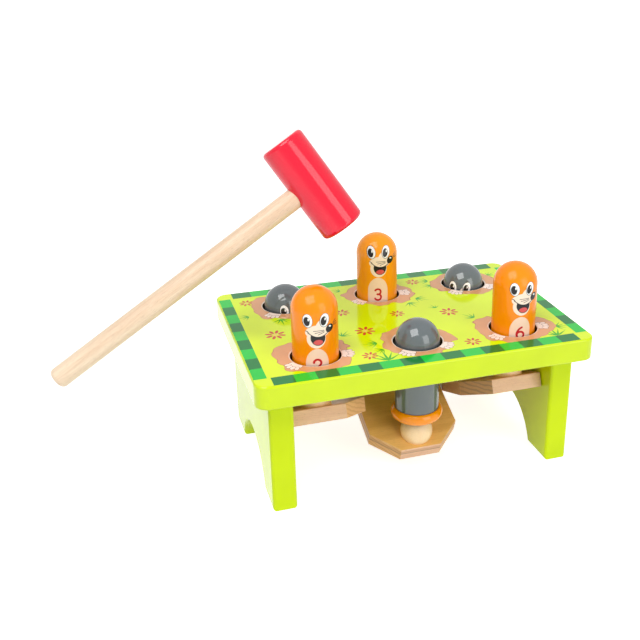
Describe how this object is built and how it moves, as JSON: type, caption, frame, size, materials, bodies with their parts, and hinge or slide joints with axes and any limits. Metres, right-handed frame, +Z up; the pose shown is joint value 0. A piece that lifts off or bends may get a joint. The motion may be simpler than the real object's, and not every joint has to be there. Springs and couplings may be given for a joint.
{
  "type": "whack-a-mole toy",
  "caption": "Wooden hammering bench: round moles stand in holes in its top, paired on rocking plates below, so that striking one down raises its neighbour; with a mallet.",
  "frame": {"origin": "on the floor, in the middle of the footprint of the bench and its mallet together", "axes": "+X along the bench to its right end, +Y from the front to the back, +Z up"},
  "size_m": [0.3754, 0.17, 0.2527],
  "materials": {
    "top_paint": "gloss paint over a printed top face",
    "leg_paint": "gloss paint",
    "dowel_wood": "bare",
    "rod_steel": "bright drawn",
    "spacer_plastic": "natural",
    "plate_wood": "sanded plywood",
    "mallet_red": "gloss paint",
    "handle_wood": "clear lacquer",
    "mole_grey": "gloss paint",
    "ring_orange": "gloss paint",
    "ball_wood": "clear lacquer",
    "mole_orange": "gloss paint"
  },
  "bodies": {
    "bench": {"bench_top": "top_paint", "leg_panel_left": "leg_paint", "leg_panel_right": "leg_paint", "leg_dowels": "dowel_wood", "pivot_rod": "rod_steel", "rod_spacers": "spacer_plastic"},
    "rocker_left": {"rocker_plate_left": "plate_wood", "rocker_ball_1": "ball_wood", "rocker_ball_2": "ball_wood"},
    "rocker_centre": {"rocker_plate_centre": "plate_wood", "rocker_ball_3": "ball_wood", "rocker_ball_4": "ball_wood"},
    "rocker_right": {"rocker_plate_right": "plate_wood", "rocker_ball_5": "ball_wood", "rocker_ball_6": "ball_wood"},
    "mole_1": {"mole_1_body": "mole_grey", "mole_1_stop_ring": "ring_orange"},
    "mole_2": {"mole_2_body": "mole_orange", "mole_2_stop_ring": "ring_orange"},
    "mole_3": {"mole_3_body": "mole_orange", "mole_3_stop_ring": "ring_orange"},
    "mole_4": {"mole_4_body": "mole_grey", "mole_4_stop_ring": "ring_orange"},
    "mole_5": {"mole_5_body": "mole_grey", "mole_5_stop_ring": "ring_orange"},
    "mole_6": {"mole_6_body": "mole_orange", "mole_6_stop_ring": "ring_orange"},
    "mallet": {"mallet_head": "mallet_red", "mallet_handle": "handle_wood"}
  },
  "joints": [
    {"name": "rocker_left_tilt", "type": "hinge", "parent": "bench", "child": "rocker_left", "pos_m": [0.06273, 0, 0.04104], "axis": [1, 0, 0], "range_deg": [0, 43]},
    {"name": "rocker_centre_tilt", "type": "hinge", "parent": "bench", "child": "rocker_centre", "pos_m": [0.06273, 0, 0.04104], "axis": [1, 0, 0], "range_deg": [-43, 0]},
    {"name": "rocker_right_tilt", "type": "hinge", "parent": "bench", "child": "rocker_right", "pos_m": [0.06273, 0, 0.04104], "axis": [1, 0, 0], "range_deg": [0, 43]},
    {"name": "mole_1_slide", "type": "slide", "parent": "bench", "child": "mole_1", "axis": [0, 0, 1], "range_m": [0, 0.03483]},
    {"name": "mole_2_slide", "type": "slide", "parent": "bench", "child": "mole_2", "axis": [0, 0, 1], "range_m": [-0.03483, 0]},
    {"name": "mole_3_slide", "type": "slide", "parent": "bench", "child": "mole_3", "axis": [0, 0, 1], "range_m": [-0.03483, 0]},
    {"name": "mole_4_slide", "type": "slide", "parent": "bench", "child": "mole_4", "axis": [0, 0, 1], "range_m": [0, 0.03483]},
    {"name": "mole_5_slide", "type": "slide", "parent": "bench", "child": "mole_5", "axis": [0, 0, 1], "range_m": [0, 0.03483]},
    {"name": "mole_6_slide", "type": "slide", "parent": "bench", "child": "mole_6", "axis": [0, 0, 1], "range_m": [-0.03483, 0]},
    {"name": "mallet_lift", "type": "slide", "parent": "bench", "child": "mallet", "axis": [0, 0, 1], "range_m": [0, 0.06]}
  ],
  "couplings": [
    {"joint": "mole_1_slide", "follows": "rocker_left_tilt", "m_per_rad": 0.04639},
    {"joint": "mole_2_slide", "follows": "rocker_left_tilt", "m_per_rad": -0.04639},
    {"joint": "mole_3_slide", "follows": "rocker_centre_tilt", "m_per_rad": 0.04639},
    {"joint": "mole_4_slide", "follows": "rocker_centre_tilt", "m_per_rad": -0.04639},
    {"joint": "mole_5_slide", "follows": "rocker_right_tilt", "m_per_rad": 0.04639},
    {"joint": "mole_6_slide", "follows": "rocker_right_tilt", "m_per_rad": -0.04639}
  ]
}
